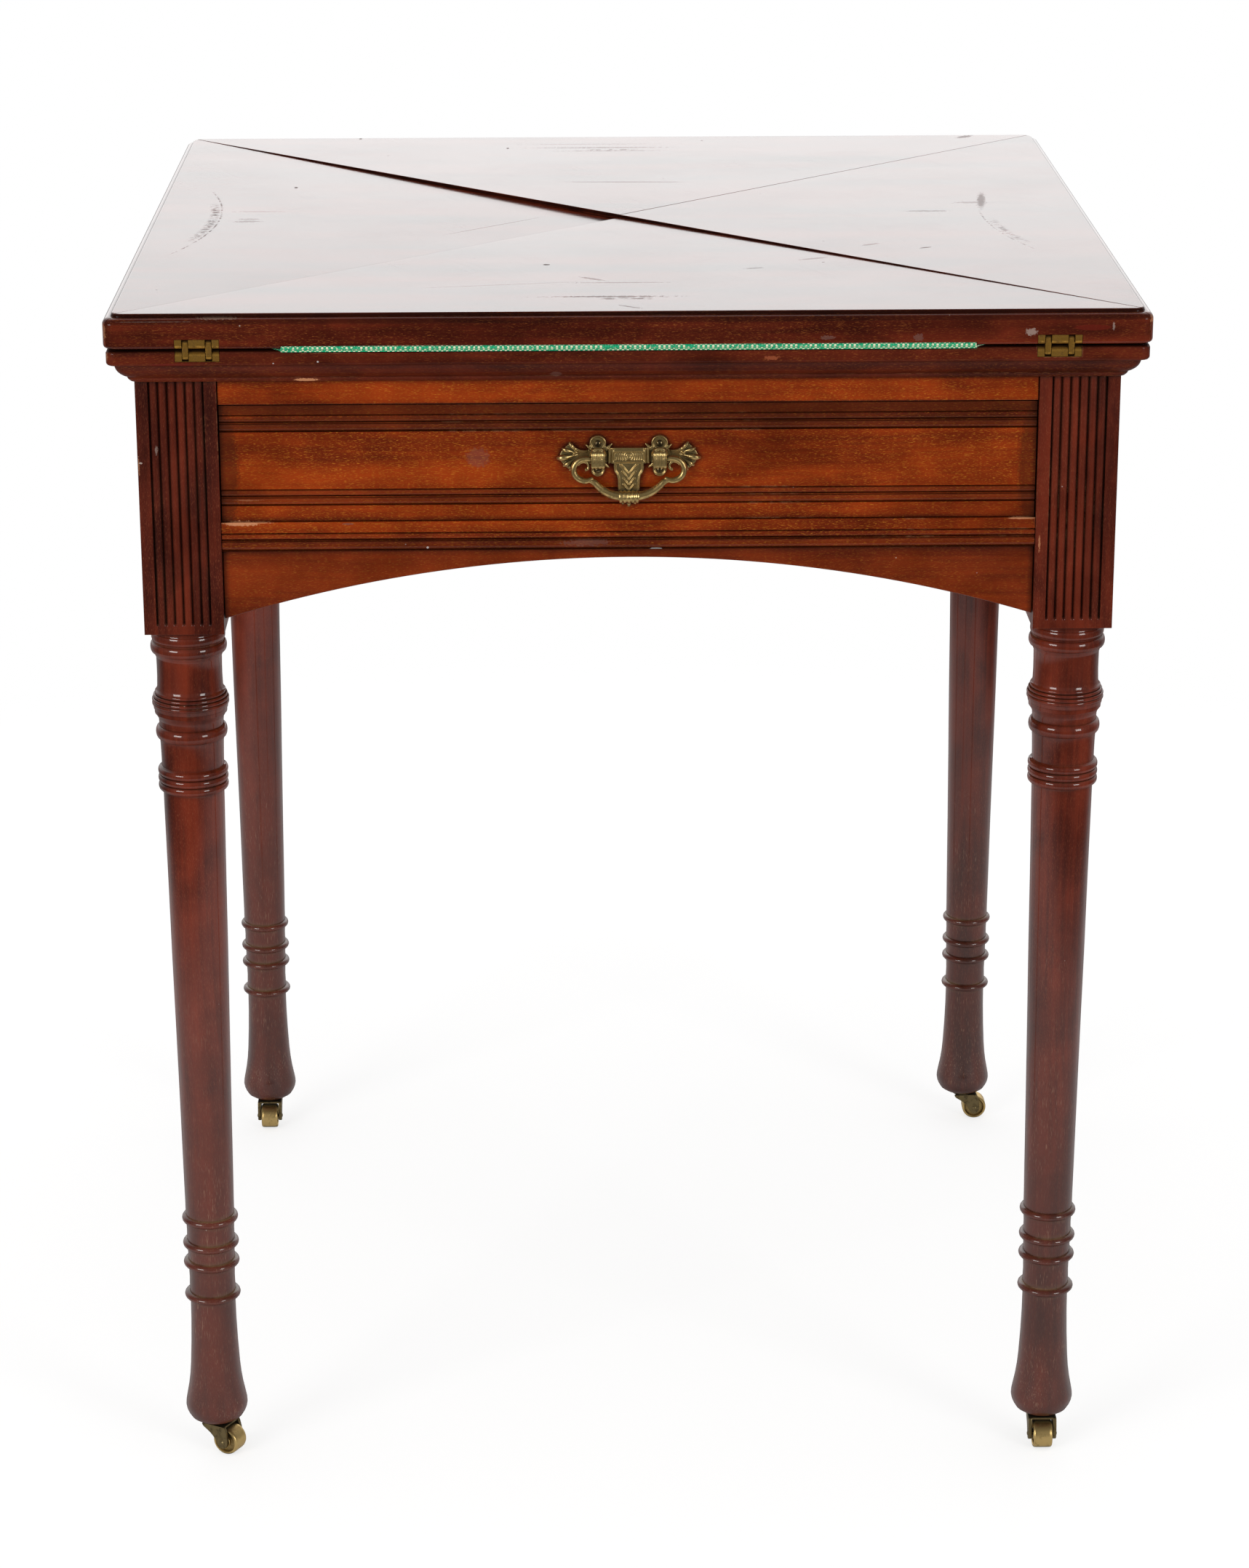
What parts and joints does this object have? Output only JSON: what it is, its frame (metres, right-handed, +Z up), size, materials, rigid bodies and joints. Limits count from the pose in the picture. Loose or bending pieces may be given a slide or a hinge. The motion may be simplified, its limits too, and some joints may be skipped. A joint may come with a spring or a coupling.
{
  "type": "fold-top game table",
  "caption": "Square fold-top game table: hinged triangular flaps over a cloth-covered board that swivels on a frame with a drawer and turned legs on casters.",
  "frame": {"origin": "on the floor under the table's centre", "axes": "+Z up, -Y towards the drawer front, +X to the right seen from the front"},
  "size_m": [0.603, 0.603, 0.741],
  "materials": {
    "red_mahogany": "french polished",
    "brown_mahogany": "french polished",
    "drawer_lining": "bare, dry",
    "green_cloth": "wool baize",
    "aged_brass": "aged, dull",
    "steel": "plain"
  },
  "bodies": {
    "stand": {"leg_front_left": "red_mahogany", "leg_front_right": "red_mahogany", "leg_back_right": "red_mahogany", "leg_back_left": "red_mahogany", "front_top_rail": "brown_mahogany", "front_lower_rail": "brown_mahogany", "front_apron": "brown_mahogany", "right_panel": "brown_mahogany", "back_panel": "brown_mahogany", "left_panel": "brown_mahogany", "drawer_runner_left": "drawer_lining", "drawer_runner_right": "drawer_lining", "pivot_rail": "drawer_lining", "caster_plate_front_left": "aged_brass", "caster_plate_front_right": "aged_brass", "caster_plate_back_right": "aged_brass", "caster_plate_back_left": "aged_brass"},
    "top": {"base_board": "red_mahogany", "base_baize": "green_cloth", "stop_peg": "drawer_lining", "pivot_bolt": "steel", "pivot_washer": "steel", "pivot_nut": "steel"},
    "links_front": {"hinge_link_front_left": "aged_brass", "hinge_link_front_right": "aged_brass"},
    "links_right": {"hinge_link_right_left": "aged_brass", "hinge_link_right_right": "aged_brass"},
    "links_back": {"hinge_link_back_left": "aged_brass", "hinge_link_back_right": "aged_brass"},
    "links_left": {"hinge_link_left_left": "aged_brass", "hinge_link_left_right": "aged_brass"},
    "flap_front_body": {"flap_front": "red_mahogany", "flap_baize_front": "green_cloth"},
    "flap_right_body": {"flap_right": "red_mahogany", "flap_baize_right": "green_cloth"},
    "flap_back_body": {"flap_back": "red_mahogany", "flap_baize_back": "green_cloth"},
    "flap_left_body": {"flap_left": "red_mahogany", "flap_baize_left": "green_cloth"},
    "drawer": {"drawer_front": "brown_mahogany", "drawer_side_left": "drawer_lining", "drawer_side_right": "drawer_lining", "drawer_back": "drawer_lining", "drawer_bottom": "drawer_lining", "handle_plate": "aged_brass"},
    "bail": {"handle_bail": "aged_brass"},
    "swivel_front_left": {"caster_fork_front_left": "aged_brass", "caster_axle_front_left": "aged_brass"},
    "swivel_front_right": {"caster_fork_front_right": "aged_brass", "caster_axle_front_right": "aged_brass"},
    "swivel_back_right": {"caster_fork_back_right": "aged_brass", "caster_axle_back_right": "aged_brass"},
    "swivel_back_left": {"caster_fork_back_left": "aged_brass", "caster_axle_back_left": "aged_brass"},
    "wheel_front_left": {"caster_wheel_front_left": "aged_brass"},
    "wheel_front_right": {"caster_wheel_front_right": "aged_brass"},
    "wheel_back_right": {"caster_wheel_back_right": "aged_brass"},
    "wheel_back_left": {"caster_wheel_back_left": "aged_brass"}
  },
  "joints": [
    {"name": "top_swivel", "type": "hinge", "parent": "stand", "child": "top", "pos_m": [0, 0, 0.6993], "axis": [0, 0, 1], "range_deg": [0, 45]},
    {"name": "link_fold_front", "type": "hinge", "parent": "top", "child": "links_front", "pos_m": [0, -0.29797, 0.71688], "axis": [1, 0, 0], "range_deg": [0, 90]},
    {"name": "link_fold_right", "type": "hinge", "parent": "top", "child": "links_right", "pos_m": [0.29797, 0, 0.71688], "axis": [0, 1, 0], "range_deg": [0, 90]},
    {"name": "link_fold_back", "type": "hinge", "parent": "top", "child": "links_back", "pos_m": [0, 0.29797, 0.71688], "axis": [-1, 0, 0], "range_deg": [0, 90]},
    {"name": "link_fold_left", "type": "hinge", "parent": "top", "child": "links_left", "pos_m": [-0.29797, 0, 0.71688], "axis": [0, -1, 0], "range_deg": [0, 90]},
    {"name": "flap_fold_front", "type": "hinge", "parent": "links_front", "child": "flap_front_body", "pos_m": [0, -0.29797, 0.72393], "axis": [1, 0, 0], "range_deg": [0, 90]},
    {"name": "flap_fold_right", "type": "hinge", "parent": "links_right", "child": "flap_right_body", "pos_m": [0.29797, 0, 0.72393], "axis": [0, 1, 0], "range_deg": [0, 90]},
    {"name": "flap_fold_back", "type": "hinge", "parent": "links_back", "child": "flap_back_body", "pos_m": [0, 0.29797, 0.72393], "axis": [-1, 0, 0], "range_deg": [0, 90]},
    {"name": "flap_fold_left", "type": "hinge", "parent": "links_left", "child": "flap_left_body", "pos_m": [-0.29797, 0, 0.72393], "axis": [0, -1, 0], "range_deg": [0, 90]},
    {"name": "drawer_slide", "type": "slide", "parent": "stand", "child": "drawer", "axis": [0, -1, 0], "range_m": [0, 0.3]},
    {"name": "bail_swing", "type": "hinge", "parent": "drawer", "child": "bail", "pos_m": [0, -0.2883, 0.65165], "axis": [-1, 0, 0], "range_deg": [0, 100]},
    {"name": "swivel_turn_front_left", "type": "hinge", "parent": "stand", "child": "swivel_front_left", "pos_m": [-0.262, -0.262, 0.02], "axis": [0, 0, 1], "continuous": true},
    {"name": "swivel_turn_front_right", "type": "hinge", "parent": "stand", "child": "swivel_front_right", "pos_m": [0.262, -0.262, 0.02], "axis": [0, 0, 1], "continuous": true},
    {"name": "swivel_turn_back_right", "type": "hinge", "parent": "stand", "child": "swivel_back_right", "pos_m": [0.262, 0.262, 0.02], "axis": [0, 0, 1], "continuous": true},
    {"name": "swivel_turn_back_left", "type": "hinge", "parent": "stand", "child": "swivel_back_left", "pos_m": [-0.262, 0.262, 0.02], "axis": [0, 0, 1], "continuous": true},
    {"name": "wheel_roll_front_left", "type": "hinge", "parent": "swivel_front_left", "child": "wheel_front_left", "pos_m": [-0.25421, -0.2665, 0.00889], "axis": [0.5, 0.866, 0], "continuous": true},
    {"name": "wheel_roll_front_right", "type": "hinge", "parent": "swivel_front_right", "child": "wheel_front_right", "pos_m": [0.262, -0.271, 0.00889], "axis": [1, 0, 0], "continuous": true},
    {"name": "wheel_roll_back_right", "type": "hinge", "parent": "swivel_back_right", "child": "wheel_back_right", "pos_m": [0.271, 0.262, 0.00889], "axis": [0, 1, 0], "continuous": true},
    {"name": "wheel_roll_back_left", "type": "hinge", "parent": "swivel_back_left", "child": "wheel_back_left", "pos_m": [-0.262, 0.253, 0.00889], "axis": [1, 0, 0], "continuous": true}
  ],
  "couplings": [
    {"joint": "flap_fold_front", "follows": "link_fold_front", "ratio": 1},
    {"joint": "flap_fold_right", "follows": "link_fold_right", "ratio": 1},
    {"joint": "flap_fold_back", "follows": "link_fold_back", "ratio": 1},
    {"joint": "flap_fold_left", "follows": "link_fold_left", "ratio": 1}
  ]
}
